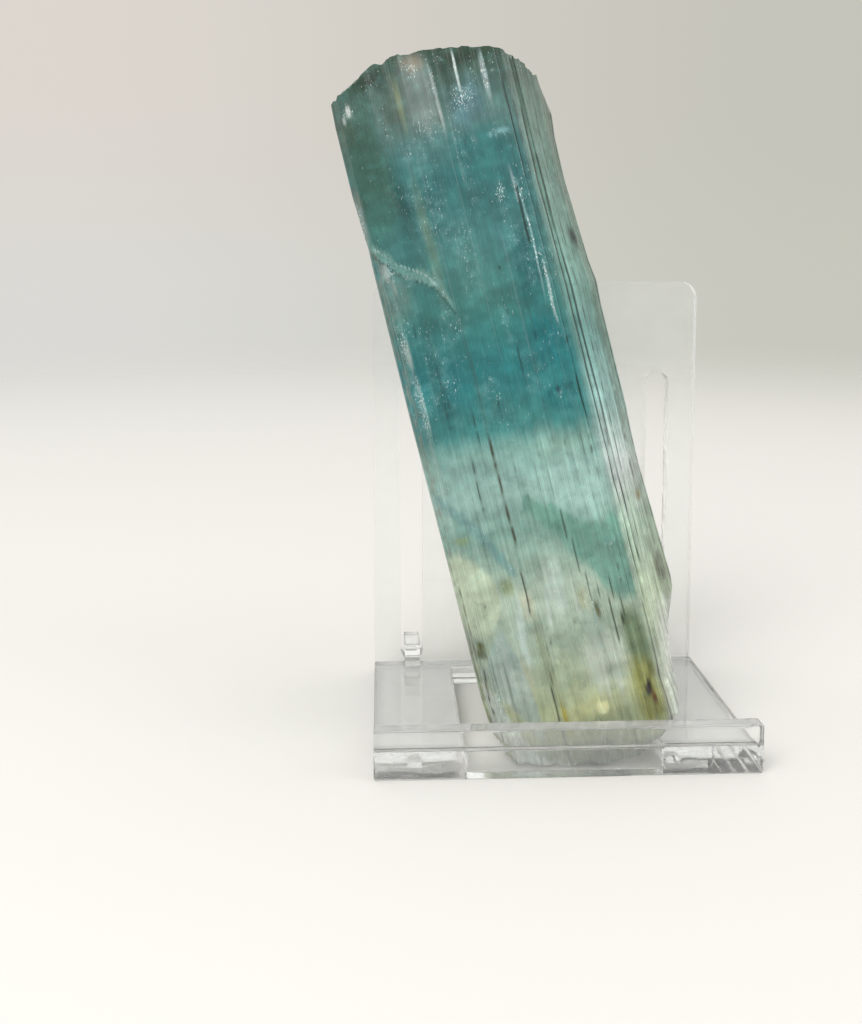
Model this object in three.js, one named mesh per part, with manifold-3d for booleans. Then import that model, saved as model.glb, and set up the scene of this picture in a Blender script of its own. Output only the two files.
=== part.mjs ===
// Aquamarine crystal, a broken hexagonal prism with ribbed faces, leaning in a small clear stand.
// Millimetres, +Z up, the crystal's broad face towards -Y.
import * as THREE from 'three';
import { mergeVertices } from 'three/addons/utils/BufferGeometryUtils.js';
import Module from 'manifold-3d';

const wasm = await Module();
wasm.setup();

// The stand: two clear plates, one flat with a raised lip, one upright with two slots
const STAND_WIDTH = 31.6;
const SHEET = 1.7; // thickness of the moulded plates
const LIP_HEIGHT = 4;
const BASE_DEPTH = 22.2; // lip's front to the base plate's rear edge
const WINDOW = { left: -8.3, right: 7.9, front: 2.1, back: 20.2 };
const UPRIGHT_HEIGHT = 39.1;
const UPRIGHT_LEAN = THREE.MathUtils.degToRad(1);
const UPRIGHT_CORNER = 1.6; // radius of the two top corners
const FIT_GAP = 0.35; // room between the base's rear edge and the upright
const INNER_BEND = 0.8; // fillet where the lip meets the plate
const SLOT = { width: 2.2, bottom: 1.6, top: 30.3, fromMiddle: 12.1 };
const PEG = { width: 1.5, bottom: 2.4, top: 3.8, root: 1.6, reach: 2.6 };

// The crystal's own frame: p across the broad face to the right, q into the depth, a along the axis
// Where p = q = a = 0, from the middle of the lip's front
const CRYSTAL_FOOT = new THREE.Vector3(3.76, 2.4, 1.17);
const LEAN_LEFT = THREE.MathUtils.degToRad(13.7);
const LEAN_BACK = THREE.MathUtils.degToRad(7.8);

// Corners of the prism's cross-section, [p, q], anticlockwise from the broad face's left edge
const SECTION = [
  [-7.9, 0.1], [4.9, 0], [6.4, 0.85], [9.3, 5.8], [9.35, 7.5], [5.5, 14.1],
  [4.0, 14.95], [-2.6, 15], [-4.2, 14.1], [-9.2, 5.3], [-9.3, 2.5],
];
const SECTION_MIDDLE = [0.2, 6.8];

// Ribs along the axis: how far apart on the skin, and how deep
const RIBS = [
  { pitch: 2.35, depth: 0.13, phase: 0.4 },
  { pitch: 1.07, depth: 0.06, phase: 1.9 },
];
// Two deep grooves run beside the broad face's right edge, and one down its left half
const GROOVES = [
  { at: 4.9, width: 0.5, depth: 0.22 },
  { at: 6.1, width: 0.5, depth: 0.25 },
  { at: -3.5, width: 0.5, depth: 0.15 },
];

// Facets of the two broken ends. Each is a plane: height at p = q = 0, and its rise along p and q
const TOP_FACETS = [
  [59.9, -0.16, 0.02],
  [60.7, 0.14, 0.02],
  [62.75, 0.51, 0.05],
  [62.6, -0.72, 0.1],
  [97.3, -4.9, 0.35],
  [63.6, 0.05, -0.36],
  [64.9, -0.42, -0.35],
];
const FOOT_FACETS = [
  [-0.75, 0, 0.17],
  [-1.3, -0.3, 0.16],
  [-15.6, -2, 0.1],
  [-1.55, 0.43, 0.19],
  [-27.6, 4.45, -0.15],
  [-3.4, 0.1, 0.42],
];
const END_ROUGHNESS = 0.14;

// The crystal's sides bow a little: how far the right and left sides stand out at heights a
const RIGHT_BOW = [
  [0, 0], [1.5, 0.2], [3.2, 0.1], [4.6, -0.6], [7, -0.4], [12, -0.33], [18, -0.3], [22, -0.27],
  [27, -0.02], [36, 0], [38.4, 0.12], [40.3, -0.13], [44, -0.3], [47.8, -0.48], [51.6, -0.4],
  [53.5, -0.2], [62, -0.1],
];
const LEFT_BOW = [
  [3, 0], [6, 0.2], [20, 0.25], [30, 0.38], [44, 0.38], [46, 0.3], [50, 0.5], [56, 0.5], [60, 0.3],
];
// A shell-shaped chip is out of the left edge, from its curved lower rim to the top
const CHIP = {
  rim: [[-9.6, 45.6], [-8.6, 44], [-7.5, 42.5], [-5.9, 41.4], [-4.7, 40.4], [-3.7, 38.2]], // [p, a]
  side: [[38.2, -3.7], [41, -3.9], [44, -4.4], [47, -5], [50, -5.8], [60, -6]], // [a, p]
  rimSlope: 1.8, // up the axis, from the rim to the chip's full depth
  sideSlope: 1.2,
  depth: 0.15,
  deepening: 0.48, // more depth for each millimetre to the left
};
// A sliver on the right side lifts away downwards and ends in a tip that hangs below the foot's broken face
const SLIVER = { p: 9.3, q: 5.6, spread: 1.1, lift: 0.6, drop: 1.6, tip: 10.3, root: 25 };

// The mesh: points round the crystal, rings up its sides as shares of the height, closest at the chip and
// the ends, and rings across each broken end as shares of the section
const AROUND = 100;
const ALONG = [
  0, 0.012, 0.04, 0.07, 0.1, 0.15, 0.2, 0.26, 0.34, 0.44, 0.54, 0.61, 0.63, 0.645, 0.66, 0.675, 0.69,
  0.705, 0.72, 0.735, 0.75, 0.77, 0.8, 0.86, 0.93, 0.98, 1,
];
const CAP_RINGS = [0.97, 0.9, 0.8, 0.68, 0.54, 0.4, 0.25, 0.1];
const RIBBED_FROM = 0.8; // a share of the section: rings inside it have shallower ribs
const INNER_RIBS = 0.5; // the depth of their ribs, as a share of the ribs on the skin

const { smoothstep } = THREE.MathUtils;

// Value of a list of [place, value] pairs at a place, with straight lines between them
function between(pairs, place) {
  if (place <= pairs[0][0]) return pairs[0][1];
  for (let i = 1; i < pairs.length; i += 1) {
    const [x0, y0] = pairs[i - 1];
    const [x1, y1] = pairs[i];
    if (place <= x1) return y0 + ((y1 - y0) * (place - x0)) / (x1 - x0);
  }
  return pairs[pairs.length - 1][1];
}

// A smooth unevenness of the broken ends, between -1 and 1
function rough(p, q) {
  return (Math.sin(1.1 * p + 0.6 * q) + Math.sin(0.5 * p - 1.3 * q + 1.3)) / 2;
}

function topHeight(p, q) {
  const heights = TOP_FACETS.map(([height, alongP, alongQ]) => height + alongP * p + alongQ * q);
  return Math.min(...heights) + END_ROUGHNESS * rough(p, q);
}

// How near a place in the section is to the sliver, from 0 to 1
function sliverNearness(p, q) {
  return Math.exp(-(((p - SLIVER.p) / SLIVER.spread) ** 2) - ((q - SLIVER.q) / SLIVER.spread) ** 2);
}

function footHeight(p, q) {
  const heights = FOOT_FACETS.map(([height, alongP, alongQ]) => height + alongP * p + alongQ * q);
  return Math.max(...heights) - SLIVER.drop * sliverNearness(p, q) + END_ROUGHNESS * rough(p + 3, q);
}

// Inward depth of the ribs and grooves at a distance s round the section
function ribDepth(s, p, q) {
  let depth = 0;
  for (const { pitch, depth: deep, phase } of RIBS) {
    depth += deep * Math.abs(Math.sin((Math.PI * s) / pitch + phase));
  }
  if (q < 2) {
    for (const groove of GROOVES) depth += groove.depth * Math.exp(-(((p - groove.at) / groove.width) ** 2));
  }
  return depth;
}

// The section as points [p, q], evenly spaced round it, with a share of its ribs' depth
function sectionPoints(ribShare) {
  const corners = SECTION.map(([p, q]) => new THREE.Vector3(p, q, 0));
  const outline = new THREE.CurvePath();
  corners.forEach((corner, i) => {
    outline.add(new THREE.LineCurve3(corner, corners[(i + 1) % corners.length]));
  });
  const length = outline.getLength();
  const points = [];
  for (let i = 0; i < AROUND; i += 1) {
    const point = outline.getPointAt(i / AROUND);
    const tangent = outline.getTangentAt(i / AROUND);
    const depth = ribShare * ribDepth((i / AROUND) * length, point.x, point.y);
    points.push([point.x - tangent.y * depth, point.y + tangent.x * depth]);
  }
  return points;
}

// How far in a point of the skin goes at the chip, where it lies in front of the chip's slanting floor
function chipDepth(p, q, a) {
  const fromSide = between(CHIP.side, a) - p;
  const fromRim = a - between(CHIP.rim, p);
  const share = smoothstep(fromRim, 0, CHIP.rimSlope) * smoothstep(fromSide, 0, CHIP.sideSlope);
  return share * Math.max(0, CHIP.depth + CHIP.deepening * fromSide - q);
}

// A point of the crystal's skin, moved out or in by the bow of its sides, the sliver and the chip
function skinPoint(p, q, a) {
  let out = between(p > 0 ? RIGHT_BOW : LEFT_BOW, a) * Math.abs(p / SECTION[3][0]);
  if (a < SLIVER.root) {
    out += (SLIVER.lift * sliverNearness(p, q) * (SLIVER.root - a)) / (SLIVER.root - SLIVER.tip);
  }
  return [p + Math.sign(p) * out, q + chipDepth(p, q, a), a];
}

function crystalGeometry() {
  const section = sectionPoints(1);
  const smooth = sectionPoints(INNER_RIBS);
  const positions = [];
  const rings = [];
  const addRing = (points) => {
    rings.push(positions.length / 3);
    points.forEach((point) => positions.push(...point));
  };
  const shrunk = (scale, height) => (scale > RIBBED_FROM ? section : smooth).map(([p, q]) => {
    const inP = SECTION_MIDDLE[0] + (p - SECTION_MIDDLE[0]) * scale;
    const inQ = SECTION_MIDDLE[1] + (q - SECTION_MIDDLE[1]) * scale;
    return skinPoint(inP, inQ, height(inP, inQ));
  });
  [...CAP_RINGS].reverse().forEach((scale) => addRing(shrunk(scale, footHeight)));
  ALONG.forEach((share) => addRing(section.map(([p, q]) => {
    const low = footHeight(p, q);
    return skinPoint(p, q, low + (topHeight(p, q) - low) * share);
  })));
  CAP_RINGS.forEach((scale) => addRing(shrunk(scale, topHeight)));

  const index = [];
  for (let r = 1; r < rings.length; r += 1) {
    for (let i = 0; i < AROUND; i += 1) {
      const j = (i + 1) % AROUND;
      const [low, high] = [rings[r - 1], rings[r]];
      index.push(low + i, low + j, high + j, low + i, high + j, high + i);
    }
  }
  const [midP, midQ] = SECTION_MIDDLE;
  const footMiddle = positions.length / 3;
  positions.push(midP, midQ, footHeight(midP, midQ), midP, midQ, topHeight(midP, midQ));
  const last = rings[rings.length - 1];
  for (let i = 0; i < AROUND; i += 1) {
    const j = (i + 1) % AROUND;
    index.push(footMiddle, j, i, footMiddle + 1, last + i, last + j);
  }
  const geometry = new THREE.BufferGeometry();
  geometry.setAttribute('position', new THREE.Float32BufferAttribute(positions, 3));
  geometry.setIndex(index);
  geometry.computeVertexNormals();
  return geometry;
}

// A closed mesh as a solid that can be joined and cut, and back
function solidOf(geometry) {
  const plain = geometry.clone();
  plain.deleteAttribute('normal');
  plain.deleteAttribute('uv');
  const merged = mergeVertices(plain, 1e-4);
  return new wasm.Manifold(new wasm.Mesh({
    numProp: 3,
    vertProperties: new Float32Array(merged.attributes.position.array),
    triVerts: new Uint32Array(merged.index.array),
  }));
}

function geometryOf(solid) {
  const { vertProperties, triVerts } = solid.getMesh();
  const geometry = new THREE.BufferGeometry();
  geometry.setAttribute('position', new THREE.BufferAttribute(new Float32Array(vertProperties), 3));
  geometry.setIndex(new THREE.BufferAttribute(new Uint32Array(triVerts), 1));
  geometry.computeVertexNormals();
  return geometry;
}

// A box between two corners
function boxBetween(low, high) {
  const size = high.map((value, i) => value - low[i]);
  const middle = high.map((value, i) => (value + low[i]) / 2);
  return new THREE.BoxGeometry(...size).translate(...middle);
}

// The base: the flat plate with the lip along its front, its window cut out, and two pegs at the rear
function baseGeometry() {
  const half = STAND_WIDTH / 2;
  const profile = new THREE.Shape();
  profile.moveTo(0, 0);
  profile.lineTo(BASE_DEPTH, 0);
  profile.lineTo(BASE_DEPTH, SHEET);
  profile.lineTo(SHEET + INNER_BEND, SHEET);
  profile.quadraticCurveTo(SHEET, SHEET, SHEET, SHEET + INNER_BEND);
  profile.lineTo(SHEET, LIP_HEIGHT);
  profile.lineTo(0, LIP_HEIGHT);
  const extent = { depth: STAND_WIDTH, bevelEnabled: false, curveSegments: 3 };
  const sheet = new THREE.ExtrudeGeometry(profile, extent);
  // The profile lies in y and z, and the sheet runs along x
  sheet.applyMatrix4(new THREE.Matrix4().set(0, 0, 1, -half, 1, 0, 0, 0, 0, 1, 0, 0, 0, 0, 0, 1));
  const window = boxBetween([WINDOW.left, WINDOW.front, -1], [WINDOW.right, WINDOW.back, SHEET + 1]);
  let base = solidOf(sheet).subtract(solidOf(window));
  for (const side of [-1, 1]) {
    const middle = side * SLOT.fromMiddle;
    const foot = boxBetween(
      [middle - PEG.width / 2, BASE_DEPTH - PEG.root, SHEET / 2],
      [middle + PEG.width / 2, BASE_DEPTH, PEG.top],
    );
    const reach = boxBetween(
      [middle - PEG.width / 2, BASE_DEPTH - PEG.root, PEG.bottom],
      [middle + PEG.width / 2, BASE_DEPTH + PEG.reach, PEG.top],
    );
    base = base.add(solidOf(foot)).add(solidOf(reach));
  }
  return geometryOf(base);
}

// The upright: a plate with two rounded top corners and two round-ended slots
function uprightGeometry() {
  const half = STAND_WIDTH / 2;
  const outline = new THREE.Shape();
  outline.moveTo(-half, 0);
  outline.lineTo(half, 0);
  outline.lineTo(half, UPRIGHT_HEIGHT - UPRIGHT_CORNER);
  const rightAngle = Math.PI / 2;
  outline.absarc(half - UPRIGHT_CORNER, UPRIGHT_HEIGHT - UPRIGHT_CORNER, UPRIGHT_CORNER, 0, rightAngle);
  outline.absarc(UPRIGHT_CORNER - half, UPRIGHT_HEIGHT - UPRIGHT_CORNER, UPRIGHT_CORNER, rightAngle, Math.PI);
  for (const side of [-1, 1]) {
    const slot = new THREE.Path();
    const round = SLOT.width / 2;
    slot.absarc(side * SLOT.fromMiddle, SLOT.top - round, round, 0, Math.PI);
    slot.absarc(side * SLOT.fromMiddle, SLOT.bottom + round, round, Math.PI, 2 * Math.PI);
    outline.holes.push(slot);
  }
  const plate = new THREE.ExtrudeGeometry(outline, { depth: SHEET, bevelEnabled: false, curveSegments: 8 });
  // Stood up: the outline's y becomes z, and its thickness goes back from y = 0
  return plate.rotateX(Math.PI / 2).translate(0, SHEET, 0);
}

const beryl = new THREE.MeshStandardMaterial({ color: 0x6fb0ab, roughness: 0.25, metalness: 0 });
const clearPlastic = new THREE.MeshStandardMaterial({
  color: 0xe9edea, roughness: 0.08, metalness: 0, transparent: true, opacity: 0.35,
});

const base = new THREE.Mesh(baseGeometry(), clearPlastic);
base.name = 'stand_base';

const upright = new THREE.Mesh(uprightGeometry(), clearPlastic);
upright.name = 'stand_upright';
// Raised so that its rear edge, the lower one once it leans, is on the ground
upright.position.set(0, BASE_DEPTH + FIT_GAP, SHEET * Math.sin(UPRIGHT_LEAN));
upright.rotation.x = -UPRIGHT_LEAN;

const crystal = new THREE.Mesh(crystalGeometry(), beryl);
crystal.name = 'crystal';
crystal.rotation.set(-LEAN_BACK, -LEAN_LEFT, 0, 'YXZ');
crystal.position.copy(CRYSTAL_FOOT);

// Everything is placed from the middle of the lip's front, then set on the middle of its own box
const placed = new THREE.Group();
placed.add(base, upright, crystal);
placed.updateMatrixWorld(true);
const box = new THREE.Box3().setFromObject(placed, true);
const middle = box.getCenter(new THREE.Vector3());
placed.position.set(-middle.x, -middle.y, -box.min.z);

const part = new THREE.Group();
part.add(placed);
export default part;
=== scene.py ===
import math

import bpy
import numpy as np
from mathutils import Matrix, Vector


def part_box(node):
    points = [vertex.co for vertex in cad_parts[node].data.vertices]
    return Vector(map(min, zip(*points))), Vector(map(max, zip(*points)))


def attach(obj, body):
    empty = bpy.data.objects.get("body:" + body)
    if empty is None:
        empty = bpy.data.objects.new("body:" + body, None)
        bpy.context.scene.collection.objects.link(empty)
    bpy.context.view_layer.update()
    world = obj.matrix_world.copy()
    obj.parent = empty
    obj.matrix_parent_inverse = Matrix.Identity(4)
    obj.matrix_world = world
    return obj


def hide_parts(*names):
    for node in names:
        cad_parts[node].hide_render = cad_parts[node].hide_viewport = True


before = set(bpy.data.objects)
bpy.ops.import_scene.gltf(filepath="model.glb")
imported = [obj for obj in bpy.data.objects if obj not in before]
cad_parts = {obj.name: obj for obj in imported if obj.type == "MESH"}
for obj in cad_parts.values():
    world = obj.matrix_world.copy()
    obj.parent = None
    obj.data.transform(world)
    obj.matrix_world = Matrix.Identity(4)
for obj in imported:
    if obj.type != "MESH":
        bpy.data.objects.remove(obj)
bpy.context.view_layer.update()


# The stand's base: a flat plate of clear moulded plastic with a window, a lip along its front and
# two pegs at its rear that hold the upright. It is moulded in one shot, so its edges are rounded
# a little, and years of handling have left fine scuffs on its faces.
MM = 0.001
MOULDED_EDGE = 0.16 * MM
JOIN_WITHIN = 0.001 * MM
FLAT_WITHIN = math.radians(1)
ROUNDED_ABOVE = math.radians(32)
PLASTIC_IOR = 1.49


def new_material(name):
    material = bpy.data.materials.new(name)
    material.use_nodes = True
    tree = material.node_tree
    tree.nodes.clear()
    output = tree.nodes.new("ShaderNodeOutputMaterial")
    surface = tree.nodes.new("ShaderNodeBsdfPrincipled")
    tree.links.new(surface.outputs["BSDF"], output.inputs["Surface"])
    return material, tree, surface, output


def plug(tree, socket, value):
    if isinstance(value, bpy.types.NodeSocket):
        tree.links.new(value, socket)
    else:
        socket.default_value = value


def number(tree, operation, *values):
    node = tree.nodes.new("ShaderNodeMath")
    node.operation = operation
    for socket, value in zip(node.inputs, values):
        plug(tree, socket, value)
    return node.outputs["Value"]


def object_millimetres(tree, origin=(0, 0, 0), turn=(0, 0, 0)):
    """Places on the piece in millimetres, from an origin and along axes of its own."""
    node = tree.nodes.new("ShaderNodeMapping")
    node.vector_type = "TEXTURE"
    node.inputs["Location"].default_value = origin
    node.inputs["Rotation"].default_value = turn
    node.inputs["Scale"].default_value = (MM, MM, MM)
    plug(tree, node.inputs["Vector"], tree.nodes.new("ShaderNodeTexCoord").outputs["Object"])
    return node.outputs["Vector"]


def grain(tree, place, cells, detail=2.0, distortion=0.0):
    """Noise from 0 to 1, with so many cells a millimetre along each axis."""
    stretched = tree.nodes.new("ShaderNodeVectorMath")
    stretched.operation = "MULTIPLY"
    plug(tree, stretched.inputs[0], place)
    stretched.inputs[1].default_value = cells
    node = tree.nodes.new("ShaderNodeTexNoise")
    plug(tree, node.inputs["Vector"], stretched.outputs["Vector"])
    node.inputs["Scale"].default_value = 1.0
    node.inputs["Detail"].default_value = detail
    node.inputs["Distortion"].default_value = distortion
    return node.outputs["Fac"]


def between(tree, value, low, high, out_low=0.0, out_high=1.0):
    """Value taken from low..high to out_low..out_high, eased at both ends."""
    node = tree.nodes.new("ShaderNodeMapRange")
    node.interpolation_type = "SMOOTHSTEP"
    for name, setting in (("Value", value), ("From Min", low), ("From Max", high),
                          ("To Min", out_low), ("To Max", out_high)):
        plug(tree, node.inputs[name], setting)
    return node.outputs["Result"]


def mix(tree, share, first, second):
    node = tree.nodes.new("ShaderNodeMix")
    node.data_type = "RGBA"
    for name, value in (("Factor_Float", share), ("A_Color", first), ("B_Color", second)):
        plug(tree, next(s for s in node.inputs if s.identifier == name), value)
    return next(s for s in node.outputs if s.identifier == "Result_Color")


def bump(tree, surface, height, distance, strength=1.0):
    node = tree.nodes.new("ShaderNodeBump")
    node.inputs["Distance"].default_value = distance
    node.inputs["Strength"].default_value = strength
    plug(tree, node.inputs["Height"], height)
    tree.links.new(node.outputs["Normal"], surface.inputs["Normal"])


def absorb(tree, output, colour, density):
    inside = tree.nodes.new("ShaderNodeVolumeAbsorption")
    inside.inputs["Color"].default_value = (*colour, 1)
    inside.inputs["Density"].default_value = density
    tree.links.new(inside.outputs["Volume"], output.inputs["Volume"])


def clear_plastic():
    material, tree, surface, output = new_material("clear_moulded_plastic")
    place = object_millimetres(tree)
    cloudy = grain(tree, place, (0.35, 0.35, 0.35), detail=3)
    scuff = grain(tree, place, (0.5, 9.0, 2.5), detail=3, distortion=0.6)
    surface.inputs["IOR"].default_value = PLASTIC_IOR
    surface.inputs["Specular IOR Level"].default_value = 0.35
    plug(tree, surface.inputs["Transmission Weight"], between(tree, cloudy, 0.3, 0.8, 0.93, 0.87))
    tint = mix(tree, cloudy, (0.975, 0.985, 0.98, 1), (0.995, 0.998, 0.995, 1))
    plug(tree, surface.inputs["Base Color"], tint)
    haze = between(tree, cloudy, 0.35, 0.75, 0.01, 0.05)
    marks = between(tree, scuff, 0.62, 0.8, 0.0, 0.12)
    plug(tree, surface.inputs["Roughness"], number(tree, "ADD", haze, marks))
    bump(tree, surface, grain(tree, place, (0.16, 0.16, 0.16), detail=1), 0.05 * MM, 0.6)
    absorb(tree, output, (0.95, 0.97, 0.96), 10.0)
    return material


PLASTIC = clear_plastic()


def finish_moulding(node):
    """Rounded edges and the clear plastic on one of the stand's mouldings."""
    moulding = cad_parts[node]
    moulding.data.materials.clear()
    moulding.data.materials.append(PLASTIC)
    joined = moulding.modifiers.new("joined_faces", "WELD")
    joined.merge_threshold = JOIN_WITHIN
    flat = moulding.modifiers.new("flat_faces", "DECIMATE")
    flat.decimate_type = "DISSOLVE"
    flat.angle_limit = FLAT_WITHIN
    edges = moulding.modifiers.new("moulded_edges", "BEVEL")
    edges.width = MOULDED_EDGE
    edges.segments = 3
    edges.limit_method = "ANGLE"
    edges.angle_limit = ROUNDED_ABOVE


finish_moulding("stand_base")


# The upright: a clear plate moulded with two long round-ended slots, which the base's pegs go
# through. It leans back by one degree, and the crystal rests against its top edge.
finish_moulding("stand_upright")


# The crystal: one prism of aquamarine, grown in one piece and broken off at both ends. Its broad
# front face is ribbed along the axis, the narrow faces on its right are deeply striated, and a
# shell-shaped chip is out of its upper left edge. It stands in the base's window and leans left.
BASE_LOW, BASE_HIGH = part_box("stand_base")
LIP_MIDDLE = Vector(((BASE_LOW[0] + BASE_HIGH[0]) / 2, BASE_LOW[1], 0))
CRYSTAL_FOOT = Vector((3.76, 2.4, 1.17)) * MM
LEAN_LEFT = math.radians(13.7)
LEAN_BACK = math.radians(7.8)
CRYSTAL_PLACE = (Matrix.Translation(LIP_MIDDLE + CRYSTAL_FOOT)
                 @ Matrix.Rotation(-LEAN_LEFT, 4, "Y") @ Matrix.Rotation(-LEAN_BACK, 4, "X"))

# Places on the crystal are p to the right, q to the back and a up its axis, in millimetres. This is
# its section's outline, from the front left corner round by the right.
SECTION = np.array([
    (-7.9, 0.1), (4.9, 0), (6.4, 0.85), (9.3, 5.8), (9.35, 7.5), (5.5, 14.1),
    (4.0, 14.95), (-2.6, 15), (-4.2, 14.1), (-9.2, 5.3), (-9.3, 2.5),
])
SECTION_MIDDLE = np.array((0.2, 6.8))
HALF_WIDTH = 9.3
# Ribs round the section: pitch, depth, phase. Grooves down the front: place, width, depth
RIBS = ((2.35, 0.13, 0.4), (1.07, 0.06, 1.9))
GROOVES = ((4.9, 0.16, 0.22), (6.1, 0.12, 0.25), (-3.5, 0.14, 0.16))
# Flat breaks of both ends: height on the axis, and its rise to the right and to the back
TOP_FACETS = ((59.9, -0.16, 0.02), (60.7, 0.14, 0.02), (62.75, 0.51, 0.05), (62.6, -0.72, 0.1),
              (97.3, -4.9, 0.35), (63.6, 0.05, -0.36), (64.9, -0.42, -0.35))
FOOT_FACETS = ((-0.75, 0, 0.17), (-1.3, -0.3, 0.16), (-15.6, -2, 0.1), (-1.55, 0.43, 0.19),
               (-27.6, 4.45, -0.15), (-3.4, 0.1, 0.42))
END_ROUGHNESS = 0.14
# Bulge of the right and the left side: height and how far it stands out there
RIGHT_BOW = ((0, 0), (1.5, 0.2), (3.2, 0.1), (4.6, -0.6), (7, -0.4), (12, -0.33), (18, -0.3),
             (22, -0.27), (27, -0.02), (36, 0), (38.4, 0.12), (40.3, -0.13), (44, -0.3),
             (47.8, -0.48), (51.6, -0.4), (53.5, -0.2), (62, -0.1))
LEFT_BOW = ((3, 0), (6, 0.2), (20, 0.25), (30, 0.38), (44, 0.38), (46, 0.3), (50, 0.5), (56, 0.5),
            (60, 0.3))
# The chip: heights of its rim from left to right, places of its side from bottom to top, the width
# of the pale lip from left to right, and its floor, which is deeper further from the side
CHIP_RIM = ((-9.6, 45.6), (-8.6, 44), (-7.5, 42.5), (-5.9, 41.4), (-4.7, 40.4), (-3.7, 38.2))
CHIP_SIDE = ((38.2, -3.7), (41, -3.9), (44, -4.4), (47, -5), (50, -5.8), (60, -6))
CHIP_LIP = ((-9.6, 0), (-9.2, 0.5), (-7.5, 0.9), (-6.3, 0.6), (-5.5, 1.0), (-4.6, 0.8),
            (-3.8, 0.25), (-3.5, 0))
CHIP_DEPTH = 0.15
CHIP_DEEPENING = 0.48
CHIP_CLEARS = 0.85
# The sliver that stands off the lower right edge, and reaches down past the foot
SLIVER_PLACE = np.array((9.3, 5.6))
SLIVER_SPREAD, SLIVER_LIFT, SLIVER_DROP, SLIVER_TIP, SLIVER_ROOT = 1.1, 0.6, 1.6, 10.3, 25

# Length of a step along each side of the section, rings up the walls, and the section's size from
# ring to ring across a broken end
STEPS = (0.07, 0.09, 0.1, 0.1, 0.3, 0.3, 0.3, 0.3, 0.3, 0.1, 0.09)
WALL_RINGS = 190
END_SCALES = np.concatenate([[0.992, 0.98], np.linspace(0.955, 0.04, 14)])
# Fine striations all round, which are deeper on the right from this place on
STRIATIONS = 300
STRIATED_FROM, STRIATED_DEEPER = 5, 0.9
NICK_DEPTH = 0.35
# Grit on the breaks: depth and cells a millimetre, and how far it stands in as a whole
GRIT = ((0.10, 0.9), (0.07, 2.1), (0.04, 5))
GRIT_SINKS = 0.12
SHARP_ABOVE = math.radians(38)
# Chance for striations, clouds and seams, and the smooth noise's table and its scatter
dice = np.random.default_rng(7)
LATTICE = np.random.default_rng(11).uniform(-1, 1, 4096)
SCATTER = (73856093, 19349663, 83492791)


def along(pairs, place):
    places, values = zip(*pairs)
    return np.interp(place, places, values)


def smooth(value):
    share = np.clip(value, 0, 1)
    return share * share * (3 - 2 * share)


def drift(p, q, a, cells):
    """Smooth noise from -1 to 1, with so many cells a millimetre across and along the crystal."""
    spots = [np.asarray(axis, float) * count for axis, count in zip((p, q, a), cells)]
    whole = [np.floor(spot).astype(int) for spot in spots]
    part = [smooth(spot - corner) for spot, corner in zip(spots, whole)]
    total = 0
    for corner in np.ndindex(2, 2, 2):
        place, weight = 0, 1
        for step, scatter, first, share in zip(corner, SCATTER, whole, part):
            place = place ^ (first + step) * scatter
            weight = weight * (share if step else 1 - share)
        total = total + weight * LATTICE[place & (len(LATTICE) - 1)]
    return total


def rough(p, q):
    """Gentle waves from -1 to 1 over a break."""
    return (np.sin(1.1 * p + 0.6 * q) + np.sin(0.5 * p - 1.3 * q + 1.3)) / 2


def facet_heights(facets, p, q):
    return np.stack([height + along_p * p + along_q * q for height, along_p, along_q in facets])


def nicks(p, q):
    """Depth of the small nicks that broken beryl has all over, between 0 and NICK_DEPTH."""
    return NICK_DEPTH * np.maximum(0, drift(p, q, 0 * p, (1.7, 1.7, 1)))


def top_height(p, q):
    return facet_heights(TOP_FACETS, p, q).min(axis=0) + END_ROUGHNESS * rough(p, q) - nicks(p, q)


def sliver_nearness(p, q):
    return np.exp(-((p - SLIVER_PLACE[0]) / SLIVER_SPREAD) ** 2
                  - ((q - SLIVER_PLACE[1]) / SLIVER_SPREAD) ** 2)


def foot_height(p, q):
    return (facet_heights(FOOT_FACETS, p, q).max(axis=0) - SLIVER_DROP * sliver_nearness(p, q)
            + END_ROUGHNESS * rough(p + 3, q) + nicks(p, q))


def chip_share(p, q, a):
    """How far into the chip a place is, from 0 to 1, with its distances from the side and rim."""
    from_side = along(CHIP_SIDE, a) - p
    from_rim = a - along(CHIP_RIM, p)
    share = smooth(from_rim) * smooth(from_side / 1.2) * (1 - smooth((q - 3) / 5))
    return share, from_side, from_rim


def section_walk():
    """Points round the section with their inward directions and the distances walked."""
    points, inward, walked = [], [], []
    total = 0.0
    for i, corner in enumerate(SECTION):
        side = SECTION[(i + 1) % len(SECTION)] - corner
        length = np.hypot(*side)
        direction = side / length
        count = round(length / STEPS[i])
        for k in range(count):
            points.append(corner + direction * length * k / count)
            inward.append((-direction[1], direction[0]))
            walked.append(total + length * k / count)
        total += length
    return np.array(points), np.array(inward), np.array(walked), total


section, inward, walked, girth = section_walk()


def groove_depths(heights):
    """Inward depth of ribs, grooves and striations, for rings of heights round the section."""
    p, q = section.T
    depth = np.zeros(heights.shape)
    for pitch, deep, phase in RIBS:
        depth += deep * np.abs(np.sin(np.pi * walked / pitch + phase))
    for at, width, deep in GROOVES:
        depth += deep * np.exp(-((p - at) / width) ** 2) * (q < 2)
    for _ in range(STRIATIONS):
        at = dice.uniform(0, girth)
        width = dice.uniform(0.05, 0.16)
        deep = dice.uniform(0.01, 0.055)
        middle = dice.uniform(0, 60)
        reach = dice.uniform(3, 30)
        columns = np.abs(walked - at) < 3 * width
        across = np.exp(-((walked[columns] - at) / width) ** 2)
        up = smooth((reach - np.abs(heights[:, columns] - middle)) / 2)
        deeper = 1 + STRIATED_DEEPER * (p[columns] > STRIATED_FROM)
        depth[:, columns] += deep * across * up * deeper
    return depth


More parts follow.
